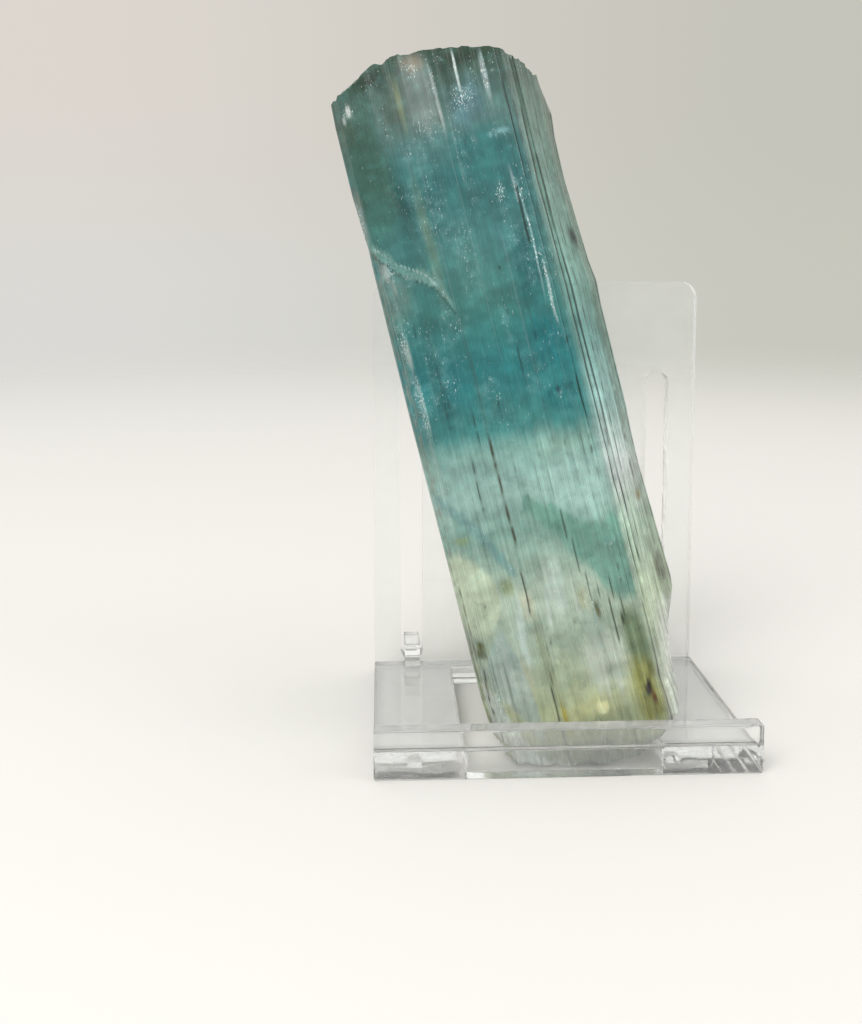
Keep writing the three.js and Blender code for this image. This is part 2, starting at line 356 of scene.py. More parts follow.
def placed_ring(scale, heights, depths):
    """A ring of the skin: the section shrunk by scale, with its ribs, bows, sliver and chip."""
    share, _, _ = chip_share(*section.T, heights)
    p, q = (section + inward * (depths * (1 - CHIP_CLEARS * share))[:, None]).T
    p = SECTION_MIDDLE[0] + (p - SECTION_MIDDLE[0]) * scale
    q = SECTION_MIDDLE[1] + (q - SECTION_MIDDLE[1]) * scale
    bow = np.where(p > 0, along(RIGHT_BOW, heights), along(LEFT_BOW, heights))
    lift = np.maximum(SLIVER_ROOT - heights, 0) / (SLIVER_ROOT - SLIVER_TIP)
    out = bow * np.abs(p / HALF_WIDTH) ** 3 + SLIVER_LIFT * sliver_nearness(p, q) * lift
    share, from_side, _ = chip_share(p, q, heights)
    dent = share * np.maximum(0, CHIP_DEPTH + CHIP_DEEPENING * from_side - q)
    return np.stack([p + np.sign(p) * out, q + dent, heights], axis=1)


def broken_end(height, depths, inwards):
    """Rings across one broken end, from the rim inwards, roughened as broken beryl is."""
    rings, plain = [], []
    for scale in END_SCALES:
        p, q = (SECTION_MIDDLE + (section - SECTION_MIDDLE) * scale).T
        level = height(p, q)
        grit = sum(deep * drift(p, q, level, (cells, cells, cells)) for deep, cells in GRIT)
        grit = (grit + GRIT_SINKS) * min(1.0, (1 - scale) / 0.05)
        kept_depths = depths * max(0.0, (scale - 0.7) / 0.3)
        rings.append(placed_ring(scale, level + inwards * grit, kept_depths))
        plain.append(np.stack([p, q, level], axis=1))
    return rings, plain


# Colours of the beryl up the axis, in linear light: heights in millimetres and the colour there
BAND_COLOURS = (
    (-1, (0.140, 0.190, 0.120)), (4, (0.514, 0.571, 0.349)), (9, (0.366, 0.453, 0.353)),
    (14, (0.459, 0.564, 0.461)), (19, (0.236, 0.407, 0.351)), (22, (0.346, 0.531, 0.485)),
    (25.9, (0.256, 0.451, 0.404)), (27.9, (0.049, 0.247, 0.241)), (33, (0.017, 0.207, 0.223)),
    (38, (0.047, 0.220, 0.204)), (44, (0.059, 0.222, 0.222)), (49, (0.025, 0.162, 0.165)),
    (52, (0.077, 0.220, 0.218)), (54, (0.105, 0.218, 0.204)), (60, (0.037, 0.080, 0.046)),
)
# Clouds and stains: place across and up, reach each way, softness, colour, strength
CLOUDS = (
    # the deep blue heart, and darker and greener teal round it
    (3.0, 40, 1.3, 3.2, 0.7, (0.002, 0.123, 0.138), 0.7),
    (3.1, 34.4, 1.6, 2.7, 0.6, (0.002, 0.162, 0.187), 0.9),
    (3.0, 29.3, 1.6, 1.3, 0.5, (0.002, 0.150, 0.165), 0.6),
    (1.0, 34, 1.1, 4.5, 0.8, (0.008, 0.144, 0.150), 0.5),
    (1.8, 50.8, 3.3, 1.9, 0.6, (0.022, 0.161, 0.163), 0.85),
    (-7.6, 51, 2.0, 6.0, 0.5, (0.043, 0.125, 0.086), 0.8),
    (-5.8, 47, 0.8, 4.6, 0.9, (0.006, 0.078, 0.073), 0.75),
    (-7.6, 47, 1.2, 1.6, 0.8, (0.050, 0.212, 0.180), 0.6),
    (-9.3, 47.6, 0.5, 2.4, 0.8, (0.36, 0.36, 0.33), 0.7),
    (-6.2, 33, 0.8, 5.5, 0.8, (0.014, 0.121, 0.115), 0.6),
    (-4.4, 44.5, 0.5, 5.5, 0.9, (0.189, 0.285, 0.187), 0.55),
    (-5.2, 32, 1.4, 2.4, 0.8, (0.021, 0.224, 0.254), 0.5),
    (-1.5, 41, 2.4, 3.5, 0.9, (0.082, 0.236, 0.215), 0.5),
    (-7.9, 40.5, 1.1, 2.4, 0.7, (0.166, 0.276, 0.244), 0.6),
    # frosted top with its rusty crust
    (-2.4, 56.3, 1.6, 3.4, 0.5, (0.242, 0.311, 0.292), 0.9),
    (-5.0, 55, 1.0, 2.6, 0.8, (0.093, 0.134, 0.092), 0.6),
    (-2.4, 59.2, 1.1, 0.9, 0.7, (0.295, 0.252, 0.190), 0.85),
    (-4.2, 56, 0.3, 2.4, 0.8, (0.363, 0.411, 0.235), 0.6),
    (-6.2, 58.6, 1.8, 1.0, 0.7, (0.009, 0.028, 0.005), 0.7),
    (2.2, 58.5, 2.6, 0.9, 0.7, (0.007, 0.025, 0.008), 0.8),
    (1.4, 54.8, 1.5, 2.0, 0.8, (0.120, 0.287, 0.358), 0.65),
    (-8.7, 55.6, 0.9, 1.6, 0.8, (0.067, 0.100, 0.061), 0.6),
    # white streaks and glassy breaks inside the upper half, and a painted highlight at the top left
    (1.15, 57.6, 0.09, 1.7, 0.4, (0.70, 0.80, 0.78), 0.85),
    (3.3, 56.4, 0.26, 1.8, 0.7, (0.42, 0.52, 0.52), 0.8),
    (-0.95, 56.0, 0.2, 3.2, 0.6, (0.48, 0.54, 0.52), 0.75),
    (3.9, 42.5, 0.08, 4.6, 0.5, (0.38, 0.58, 0.60), 0.75),
    (4.4, 37.8, 0.13, 2.4, 0.6, (0.50, 0.66, 0.66), 0.7),
    (3.6, 47.6, 0.14, 1.6, 0.7, (0.42, 0.52, 0.56), 0.7),
    # painted highlight: the white glint near the top left corner and the paler spot below it
    (-8.05, 56.9, 0.17, 0.55, 0.6, (0.80, 0.86, 0.84), 0.85),
    (-8.4, 56.2, 0.12, 0.4, 0.6, (0.60, 0.68, 0.65), 0.8),
    (-8.3, 43.0, 0.25, 1.0, 0.6, (0.45, 0.52, 0.48), 0.7),
    (3.4, 51.9, 1.1, 0.16, 0.5, (0.374, 0.697, 0.767), 0.7),
    (-8.3, 35.6, 0.22, 1.2, 0.6, (0.46, 0.55, 0.52), 0.7),
    (-8.0, 31.0, 0.2, 2.6, 0.6, (0.40, 0.52, 0.50), 0.6),
    (-8.0, 41.4, 0.16, 0.8, 0.6, (0.50, 0.56, 0.52), 0.6),
    (0.5, 57.2, 0.45, 1.4, 0.6, (0.044, 0.092, 0.075), 0.9),
    # three short dark bars at the lower end of the blue heart
    (2.15, 29.8, 0.3, 0.3, 0.3, (0.006, 0.124, 0.139), 0.9),
    (2.95, 29.9, 0.2, 0.3, 0.3, (0.004, 0.06, 0.08), 0.9),
    (4.0, 30.1, 0.5, 0.28, 0.3, (0.007, 0.126, 0.146), 0.9),
    # mint and green bands of the lower half, and the white right side of the foot
    (0.5, 19.5, 0.9, 0.8, 0.6, (0.053, 0.151, 0.109), 0.7),
    (8.2, 5.5, 1.6, 4.5, 0.5, (0.920, 0.920, 0.920), 0.7),
    (3.2, 21.6, 2.4, 3.0, 0.5, (0.506, 0.771, 0.706), 0.9),
    (2.2, 25.2, 2.6, 1.1, 0.7, (0.351, 0.565, 0.483), 0.5),
    # cream, beige and white clouds near the foot
    (-7.7, 19.6, 0.9, 0.3, 0.6, (0.307, 0.397, 0.184), 0.8),
    (-8.6, 16.4, 0.7, 1.6, 0.7, (0.129, 0.176, 0.101), 0.6),
    (-5.1, 14.9, 0.6, 0.9, 0.7, (0.252, 0.308, 0.108), 0.6),
    (-3.9, 13.0, 0.7, 1.2, 0.6, (0.598, 0.583, 0.435), 0.65),
    (-5.1, 10.6, 0.8, 2.0, 0.6, (0.405, 0.492, 0.418), 0.8),
    (-1.2, 14, 0.9, 2.2, 0.7, (0.699, 0.820, 0.744), 0.75),
    (0.9, 13.0, 0.6, 1.2, 0.7, (0.380, 0.376, 0.215), 0.65),
    (-4.7, 10.8, 0.35, 2.6, 0.5, (0.592, 0.703, 0.662), 0.7),
    (-1.0, 14.3, 0.45, 2.2, 0.5, (0.521, 0.633, 0.561), 0.7),
    (-2.2, 12.6, 0.25, 1.6, 0.5, (0.64, 0.72, 0.68), 0.6),
    (0.35, 12.6, 0.2, 2.2, 0.5, (0.62, 0.68, 0.62), 0.5),
    (1.3, 12.4, 0.3, 1.2, 0.5, (0.527, 0.587, 0.449), 0.7),
    (-6.5, 8.2, 0.22, 2.8, 0.5, (0.60, 0.67, 0.65), 0.7),
    (-7.5, 8.6, 0.4, 1.8, 0.6, (0.245, 0.290, 0.236), 0.6),
    (-3.3, 8.8, 0.45, 3.6, 0.6, (0.288, 0.326, 0.190), 0.5),
    (5.6, 14.5, 0.3, 3.0, 0.6, (0.305, 0.423, 0.365), 0.5),
    (1.2, 10.2, 1.0, 2.2, 0.7, (0.437, 0.544, 0.463), 0.7),
    (1.3, 6.8, 2.0, 2.6, 0.6, (0.615, 0.666, 0.597), 0.75),
    (-6.4, 7.2, 1.8, 2.6, 0.7, (0.518, 0.499, 0.389), 0.6),
    (4.4, 8.2, 1.2, 3.6, 0.5, (0.158, 0.217, 0.108), 0.9),
    (4.4, 3.4, 1.4, 2.4, 0.6, (0.261, 0.244, 0.035), 0.8),
    (-8.6, 7.3, 0.5, 1.3, 0.6, (0.402, 0.393, 0.197), 0.8),
    # iron and clay stains
    (3.9, 5.3, 1.3, 1.4, 1.0, (0.324, 0.318, 0.064), 0.75),
    (5.0, 5.6, 0.4, 0.7, 0.8, (0.100, 0.096, 0.003), 0.7),
    (4.5, 4.2, 0.38, 0.7, 0.6, (0.019, 0.002, 0.002), 1.0),
    (4.8, 3.3, 0.22, 0.6, 0.6, (0.141, 0.033, 0.002), 0.9),
    (-0.8, 3.4, 2.6, 1.1, 0.8, (0.538, 0.526, 0.257), 0.6),
    (0.1, 3.4, 0.6, 0.55, 0.4, (0.920, 0.913, 0.488), 0.9),
    (-3.0, 3.4, 0.3, 1.7, 0.8, (0.376, 0.299, 0.009), 0.85),
    (-8.3, 10.6, 0.4, 0.5, 0.6, (0.073, 0.078, 0.002), 1.0),
    (-8.4, 9.9, 0.6, 0.5, 0.6, (0.059, 0.063, 0.004), 0.8),
    (1.8, 11.4, 0.2, 1.0, 0.6, (0.111, 0.097, 0.013), 0.9),
    (8.6, 12.6, 0.5, 1.6, 0.6, (0.16, 0.15, 0.11), 0.85),
    (8.2, 42.4, 0.5, 1.0, 0.8, (0.009, 0.010, 0.002), 0.95),
    (8.3, 19.4, 0.4, 0.5, 0.8, (0.332, 0.267, 0.091), 0.8),
)
# Areas with an outline of their own: upper edge and lower edge (places across and up), softness of
# each edge, colour and strength
PATCHES = (
    # the green cloud under the mint band, with a ragged upper edge
    (((-2.4, 20.5), (-2, 22.2), (-1.2, 21.8), (-0.4, 21.0), (0.1, 21.2), (0.7, 20.3),
      (1.5, 19.8), (2.3, 18.9), (3.2, 18.5), (4.2, 18.6), (4.8, 19.2), (5.3, 18.8)),
     ((-2.4, 20.2), (-1, 18.9), (0, 17.4), (0.8, 15.6), (2, 14.4), (3, 12.2), (4.2, 11.2),
      (5.3, 11.2)),
     0.3, 1.3, (0.17, 0.37, 0.30), 0.92),
    # the cream cloud at the left, with a round lower edge
    (((-9.3, 18.5), (-8.2, 19.0), (-7, 17.9), (-6, 16.4), (-5.7, 14.2)),
     ((-9.3, 12.4), (-8.8, 11.4), (-7.9, 11.0), (-6.9, 11.6), (-6.1, 12.8), (-5.7, 14.0)),
     1.0, 0.3, (0.57, 0.66, 0.49), 0.85),
    # blue-grey folds below the cream cloud, and a white glassy break at the foot's left
    (((-9.0, 8.5), (-8.2, 9.6), (-7.2, 11), (-6.3, 12), (-5.5, 9), (-5.0, 5)),
     ((-9.0, 7.5), (-8.2, 6.4), (-7.2, 5.2), (-6.3, 3.6), (-5.6, 2), (-5.0, 1.6)),
     0.5, 0.6, (0.37, 0.47, 0.45), 0.7),
    (((-9.0, 7.6), (-8.2, 6.6), (-7.6, 4.9), (-6.9, 3.2), (-6.2, 1.5), (-5.2, 0.6)),
     ((-9.0, 3.4), (-8.2, 1.8), (-7.6, 1.2), (-6.9, 0.7), (-6.2, 0.1), (-5.2, 0)),
     0.2, 0.3, (0.66, 0.72, 0.68), 0.8),
    # the break along the foot: a white edge at the left and a dark one at the right
    (((-7.7, 1.5), (-6.2, 0.9), (-4, 0.25), (-2.6, -0.3)),
     ((-7.7, -3), (-6.2, -3), (-4, -3), (-2.6, -3)), 0.15, 0.2, (0.80, 0.84, 0.80), 0.8),
    (((-2.6, 0.2), (0, 0), (2.5, 0.2), (4.5, 0.9), (6, 1.6)),
     ((-2.6, -3), (0, -3), (2.5, -3), (4.5, -3), (6, -3)), 0.5, 0.2, (0.10, 0.13, 0.08), 0.7),
    # a blue-grey wisp that runs down across the left half
    (((-9.0, 24.2), (-8.2, 23.3), (-7.1, 22.0), (-6.2, 20.6), (-5.3, 18.8), (-4.3, 17.2),
      (-3.9, 15.9)),
     ((-9.0, 22.6), (-8.2, 21.4), (-7.1, 20.2), (-6.2, 18.6), (-5.3, 16.8), (-4.6, 15.6),
      (-3.9, 15.4)),
     0.3, 0.7, (0.19, 0.37, 0.36), 0.75),
)
LEFT_CORNER = -7
SIDE_CLOUDS = 46
# Dark seams along the axis: place across, lower and upper end, half width, strength, rustiness.
# Those that are this strong and this free from rust run on unbroken
SEAMS = (
    (-3.5, 18, 28.6, 0.13, 0.95, 0.8), (-3.45, 28, 37, 0.08, 0.45, 0.8),
    (-3.7, 12, 16.4, 0.08, 0.92, 0.1), (-3.5, -1, 6.5, 0.08, 0.94, 0.1),
    (-3.3, 6, 12, 0.06, 0.9, 0.3), (-5.35, 20.6, 26.8, 0.09, 0.8, 0.1),
    (-2.1, 28, 30.6, 0.08, 0.85, 0.1), (-2.1, 23.6, 26, 0.07, 0.5, 0.1),
    (-2.1, 33, 36, 0.06, 0.4, 0.1), (0.5, 30.5, 34.5, 0.07, 0.75, 0.1),
    (0.5, 36.6, 38, 0.08, 0.7, 0.1), (0.5, 20.5, 29, 0.06, 0.5, 0.1),
    (2.55, 24, 26, 0.12, 0.75, 0.4), (3.85, 22, 27, 0.08, 0.7, 0.3),
    (4.55, 19.5, 26, 0.1, 0.75, 0.3), (2.7, 22, 23.4, 0.2, 0.45, 0.2),
    (4.78, 26.6, 31.2, 0.1, 0.98, 0.1), (4.78, 33.4, 34.2, 0.1, 0.95, 0.1),
    (4.75, 47.5, 56.5, 0.1, 0.9, 0.1), (5.1, 43, 50, 0.06, 0.6, 0.1),
    (3.7, 42, 47.6, 0.12, 0.9, 0.1), (5.9, 11, 54, 0.1, 1.0, 0.1),
    (5.65, 0.5, 11.4, 0.065, 0.93, 0.1), (6.55, 14, 50, 0.06, 0.92, 0.1),
    (7.0, 14, 51, 0.06, 0.85, 0.2), (7.65, 26, 50, 0.07, 0.6, 0.3), (8.4, 22, 38, 0.08, 0.5, 0.6),
    (6.3, 24, 52, 0.05, 0.9, 0.1), (5.3, 36, 56, 0.06, 0.7, 0.1), (6.9, 51, 57, 0.1, 0.5, 0.5),
    (2.2, 12, 16.5, 0.06, 0.85, 0.1), (-6.3, 28.5, 38.5, 0.1, 0.6, 0.1),
    (-6.05, 30, 33, 0.06, 0.7, 0.1), (-0.5, 38, 46, 0.05, 0.45, 0.1),
    (1.15, 42, 47, 0.05, 0.5, 0.1), (2.1, 52.6, 55.5, 0.07, 0.6, 0.1),
    (-8.9, 9, 16, 0.1, 0.7, 0.6), (0.35, 11.6, 16, 0.05, 0.5, 0.2),
    (1.5, 7.4, 10.6, 0.05, 0.6, 0.1), (-0.2, 14, 18, 0.05, 0.5, 0.1),
    (-7.2, 36.5, 39, 0.09, 0.6, 0.1), (0.4, 50, 53, 0.06, 0.6, 0.1),
    (-6.5, 22, 26, 0.06, 0.4, 0.2), (-1.6, 19, 22.5, 0.08, 0.5, 0.1),
    (-6.85, 4, 10.5, 0.07, 0.6, 0.1), (-7.7, 5, 10, 0.06, 0.5, 0.1), (-5.9, 2, 7, 0.08, 0.5, 0.2),
    (8.25, 20, 26, 0.08, 0.8, 0.3), (8.05, 13.5, 20, 0.08, 0.7, 0.3),
    (2.9, 8, 12.5, 0.08, 0.92, 0.1), (3.6, 9.4, 11, 0.14, 0.9, 0.1),
    (3.85, 10, 12.4, 0.06, 0.92, 0.1), (1.95, 10.4, 12.4, 0.1, 0.8, 0.7),
    (-1.15, 53, 58, 0.07, 0.6, 0.6), (-3.6, 55.5, 58, 0.06, 0.6, 0.5),
    (2.2, 34, 37.2, 0.09, 0.6, 0.1), (-9.15, 0, 60, 0.08, 0.45, 0.6),
    (-2.85, 8.4, 9.1, 0.16, 0.8, 0.2), (-2.6, 9.5, 10, 0.1, 0.8, 0.2),
    (-3.2, 7.8, 8.4, 0.12, 0.8, 0.2), (-2.2, 7.8, 8.3, 0.1, 0.7, 0.2),
    (-0.35, 10.5, 11.3, 0.13, 0.6, 0.4), (-7.15, 13.6, 14.2, 0.14, 0.8, 0.2),
    (-4.6, 4.4, 4.9, 0.14, 0.9, 0.2), (-3.1, 10.1, 10.7, 0.1, 0.7, 0.2),
    (0.15, 10.1, 10.6, 0.09, 0.6, 0.2), (0.7, 40.6, 41.1, 0.12, 0.9, 0.1),
    (0.65, 42.2, 42.6, 0.1, 0.8, 0.1), (5.4, 14.2, 14.8, 0.12, 0.8, 0.4),
    (0.75, 17.3, 20.6, 0.06, 0.92, 0.1), (1.1, 14.4, 18, 0.06, 0.9, 0.1),
    (1.5, 12, 15, 0.06, 0.92, 0.1), (3.3, 11.6, 14.2, 0.06, 0.92, 0.1),
    (-8.6, 1.5, 9, 0.07, 0.85, 0.3), (-8.2, 1, 6, 0.06, 0.8, 0.2),
    (-7.1, 0.6, 4.6, 0.07, 0.85, 0.2), (-0.4, 19, 26, 0.05, 0.7, 0.2),
    (4.3, 12, 15, 0.08, 0.8, 0.3), (6.5, 13.9, 15.2, 0.12, 0.7, 0.4),
)
UNBROKEN_STRENGTH, UNBROKEN_RUST = 0.9, 0.1
# Fine seams all round and on the right, where the walk round the section has these lengths. Those
# on the front of the blue half are fainter
FINE_SEAMS, SIDE_SEAMS = 150, 60
FRONT_WALK, RIGHT_WALK = 12.8, (17.5, 24)
BLUE_FROM = 29
SEAMS_REACH_BACK, GLINTS_REACH_BACK = 6.5, 6
# White glints, which are painted highlights, and white inclusions: place across and up, reach each
# way, strength
GLINTS = (
    # the first, near the top left corner, is the painted highlight there
    (-8.1, 56.8, 0.6, 0.6, 0.8), (1.15, 57.8, 0.14, 1.6, 0.95), (3.35, 56.8, 0.3, 1.7, 0.95),
    (-0.95, 57.0, 0.3, 3.0, 0.6), (1.2, 55.4, 1.2, 1.4, 0.75), (-2.6, 58.8, 0.9, 0.8, 0.8),
    (-2.2, 53.6, 1.3, 1.6, 0.5), (6.8, 57.2, 0.2, 0.5, 0.8), (3.4, 51.9, 1.2, 0.22, 0.8),
    (2.2, 47.0, 0.5, 1.0, 0.85), (3.8, 47.0, 0.5, 1.2, 0.6), (4.35, 38.4, 0.2, 3.6, 0.8),
    (3.95, 43, 0.12, 3.0, 0.75), (-8.2, 31.5, 0.5, 3.4, 0.8), (-8.4, 36.8, 0.4, 1.6, 0.75),
    (-8.0, 42.8, 0.6, 1.2, 0.8), (-5.4, 32.4, 0.9, 0.9, 0.5), (-4.4, 52, 0.7, 0.9, 0.55),
    (-3.6, 47, 1.6, 4.0, 0.35), (-1.6, 43, 1.2, 3.0, 0.4), (0.2, 36, 0.4, 2.4, 0.45),
    (-8.0, 5.4, 0.5, 1.6, 0.95), (6.05, 46, 0.08, 8.0, 0.6), (5.95, 22, 0.08, 8.0, 0.45),
    (0.1, 3.3, 0.7, 0.5, 0.8), (-6.2, 1.2, 1.2, 0.7, 0.9), (1.3, 12.6, 0.5, 2.4, 0.4),
    (-1.0, 14.4, 0.5, 2.0, 0.5), (-4.6, 10.8, 0.4, 2.0, 0.5), (4.2, 16.4, 0.8, 0.3, 0.5),
    (-9.3, 47.6, 0.4, 1.8, 0.7), (1.2, 51.8, 0.4, 0.5, 0.6),
)
# Stains of the outer right edge and the left edge, the chip's pale lip, and what fills the seams
OUTER_STAIN = np.array((0.27, 0.30, 0.24))
LEFT_STAIN = np.array((0.22, 0.22, 0.17))
PALE_LIP = np.array((0.24, 0.44, 0.38))
SOOT = np.array((0.006, 0.014, 0.010))
RUST = np.array((0.045, 0.034, 0.012))
# Colours of the narrow faces on the right, up the axis. From 20 to 28 mm the near-white and pale
# mint are a painted reflection of a bright side, and lower down they are lightened as painted
# light, since these faces turn away from the lamps
RIGHT_TINT_AND_REFLECTION = ((-1, (0.920, 0.920, 0.920)), (12, (0.738, 0.841, 0.608)), (18, (0.594, 0.768, 0.613)),
              (23, (0.902, 0.920, 0.920)), (28, (0.553, 0.825, 0.772)), (34, (0.241, 0.463, 0.420)),
              (44, (0.268, 0.444, 0.370)), (52, (0.212, 0.330, 0.261)), (60, (0.063, 0.098, 0.068)))


def colour_at(table, place):
    places, colours = zip(*table)
    return np.stack([np.interp(place, places, channel) for channel in zip(*colours)], axis=-1)


def blend(colours, share, other):
    return colours + share[:, None] * (other - colours)


def band_colours(p, q, a, ragged, right):
    """The bands up the axis, tinted on the right and stained along the outer and left edges."""
    sway = drift(p, q, a, (0.9, 0.9, 0.1))
    level = a + 0.08 * p + 0.5 * sway + 0.4 * ragged * smooth((32 - a) / 6)
    colours = colour_at(BAND_COLOURS, level)
    # the right faces' tint, which holds a painted reflection and painted light as well as their
    # colour
    colours = blend(colours, 0.85 * right, colour_at(RIGHT_TINT_AND_REFLECTION, level + ragged))
    outer = smooth((p - 7.9) / 0.9) * smooth((9 - q) / 2) * smooth((a - 5) / 4)
    colours = blend(colours, 0.45 * outer, OUTER_STAIN)
    left = smooth((q - 0.6) / 1.2) * smooth((-p - 7.5) / 0.8)
    left = left * smooth((9 - q) / 2) * smooth((47 - a) / 3)
    spotted = smooth(0.5 + 1.2 * drift(p, q, a, (3, 3, 1.4)))
    thinner = 1 - 0.6 * smooth((q - 2) / 2)
    return blend(colours, 0.55 * left * spotted * thinner, LEFT_STAIN)


def add_clouds(colours, p, q, a, ragged, wander, front):
    """Colours with the front's clouds and patches, and lighter and darker clouds elsewhere."""
    round_left = 1 - smooth((q - 1.5) / 3)
    for at_p, at_a, reach_p, reach_a, softness, colour, strength in CLOUDS:
        across = np.abs(p + 0.2 * wander - at_p) / reach_p
        up = np.abs(a + min(0.6, 0.3 * reach_a) * (wander + ragged) - at_a) / reach_a
        near = np.cbrt(across ** 3 + up ** 3)
        seen = front if at_p > LEFT_CORNER else round_left
        share = strength * seen * (1 - smooth((near - 1 + softness) / (1.4 * softness)))
        colours = blend(colours, share, np.array(colour))
    shift = 0.3 * ragged
    for upper, lower, upper_edge, lower_edge, colour, strength in PATCHES:
        share = smooth((along(upper, p) + shift - a) / upper_edge)
        share = share * smooth((a - along(lower, p) - shift) / lower_edge)
        inside = (p > upper[0][0]) * (p < upper[-1][0])
        colours = blend(colours, strength * front * share * inside, np.array(colour))
    for _ in range(SIDE_CLOUDS):
        at = dice.uniform((-9, 5, 0), (9, 15, 60))
        reach = dice.uniform((1, 1, 1.5), (3, 3, 6))
        change = dice.uniform(0.55, 1.5)
        away = [(axis + 0.6 * wander - c) / r for axis, c, r in zip((p, q, a), at, reach)]
        near = np.sqrt(sum(part ** 2 for part in away))
        colours = colours * (1 + (change - 1) * (1 - front) * (1 - smooth(near - 0.3)))[:, None]
    return colours


def chip_edges(p, q, from_rim):
    """Shares of the pale lip inside the chip's rim, and of the dark line on the rim."""
    slope = np.abs(along(CHIP_RIM, p + 0.05) - along(CHIP_RIM, p - 0.05)) / 0.1
    off_rim = from_rim / np.hypot(1, slope)
    on_chip = (p < -3.6) * smooth((3.5 - q) / 1.5)
    width = along(CHIP_LIP, p)
    pale = smooth(off_rim / 0.12) * (1 - smooth((off_rim - width) / 0.2)) * on_chip * (width > 0.02)
    return 0.6 * pale, 0.6 * np.exp(-((off_rim + 0.06) / 0.12) ** 4) * on_chip


def dark_seams(p, q, a, s, clear):
    """Share of dark seam at each place, and how rusty it is."""
    opaque = np.zeros(len(p))
    rusty = np.zeros(len(p))
    broken_up = 0.3 + 0.7 * smooth(0.6 + 1.8 * drift(p, q, a, (2.6, 2.6, 1.8)))
    for at, low, high, width, strength, rust in SEAMS:
        bend = 0.06 * drift(p * 0, q * 0, a + at * 7, (1, 1, 0.35))
        beside = np.exp(-((p - at - bend) / width) ** 4)
        fade = min(0.6, (high - low) / 3)
        share = strength * beside * smooth((a - low) / fade) * smooth((high - a) / fade)
        share = share * (q < SEAMS_REACH_BACK)
        if rust != UNBROKEN_RUST or strength < UNBROKEN_STRENGTH:
            share = share * broken_up
        rusty = np.where(share > opaque, rust, rusty)
        opaque = np.maximum(opaque, share)
    for i in range(FINE_SEAMS + SIDE_SEAMS):
        all_round = i < FINE_SEAMS
        at = dice.uniform(0, girth) if all_round else dice.uniform(*RIGHT_WALK)
        middle = dice.uniform(-2, 61)
        reach = dice.uniform(0.8, 5) if all_round else dice.uniform(6, 22)
        width = dice.uniform(0.045, 0.09)
        strength = dice.uniform(0.2, 0.9) * (0.5 if middle > BLUE_FROM and at < FRONT_WALK else 1)
        near = np.abs(s - at) < 4 * width
        share = (strength * np.exp(-((s[near] - at) / width) ** 2) * (1 - clear[near])
                 * smooth((reach - np.abs(a[near] - middle)) / 1.2) * broken_up[near])
        opaque[near] = np.maximum(opaque[near], share)
    return opaque, rusty


def paint(p, q, a, s, broken):
    """Zone colours and marks (dark seams, white glints, striae, breaks) of places on the crystal,
    with s the walk round the section to each."""
    ragged = drift(p, q, a, (4.5, 4.5, 0.22))
    wander = drift(p, q, a, (0.45, 0.45, 0.3))
    clear, _, from_rim = chip_share(p, q, a)
    front = 1 - 0.85 * smooth((q - 3.5) / 4)
    right = smooth((p - 4.9) / 1.1) * smooth((9 - q) / 2)
    colours = band_colours(p, q, a, ragged, right)
    colours = add_clouds(colours, p, q, a, ragged, wander, front)
    pale_lip, rim_line = chip_edges(p, q, from_rim)
    colours = blend(colours, pale_lip, PALE_LIP)

    mottle = 0.20 * drift(p, q, a, (0.5, 0.5, 0.8)) + 0.16 * drift(p, q, a, (1.3, 1.3, 2.0))
    patchy = smooth(0.55 + drift(p, q, a, (0.5, 0.5, 0.16)))
    fibres = 1.2 * drift(p, q, a, (4.5, 4.5, 0.12)) + 0.9 * drift(p, q, a, (9, 9, 0.3))
    fibre_share = (0.02 + 0.10 * patchy * smooth((28 - a) / 3) + 0.16 * right) * (1 - clear)
    colours = colours * np.exp(mottle + fibre_share * fibres)[:, None]

    opaque, rusty = dark_seams(p, q, a, s, clear)
    opaque = np.maximum(opaque, rim_line) * (1 - broken)
    colours = blend(colours, opaque, SOOT + rusty[:, None] * (RUST - SOOT))

    clustered = smooth(0.25 + 1.5 * drift(p, q, a, (0.9, 0.9, 0.35)))
    glint = 0.28 * clustered * smooth((a - 26) / 4) * (1 - clear) * (1 - right)
    for at_p, at_a, reach_p, reach_a, strength in GLINTS:
        near = np.hypot((p + 0.1 * wander - at_p) / reach_p, (a + 0.3 * ragged - at_a) / reach_a)
        share = strength * (1 - smooth(near - 0.35)) * (q < GLINTS_REACH_BACK)
        glint = np.maximum(glint, share)
    striae = 0.05 + 0.10 * patchy * smooth((29 - a) / 4) + 0.25 * right - 0.04 * clear
    marks = np.stack([opaque, glint, np.clip(striae, 0.05, 1) * (1 - broken), broken], axis=-1)
    return colours, marks


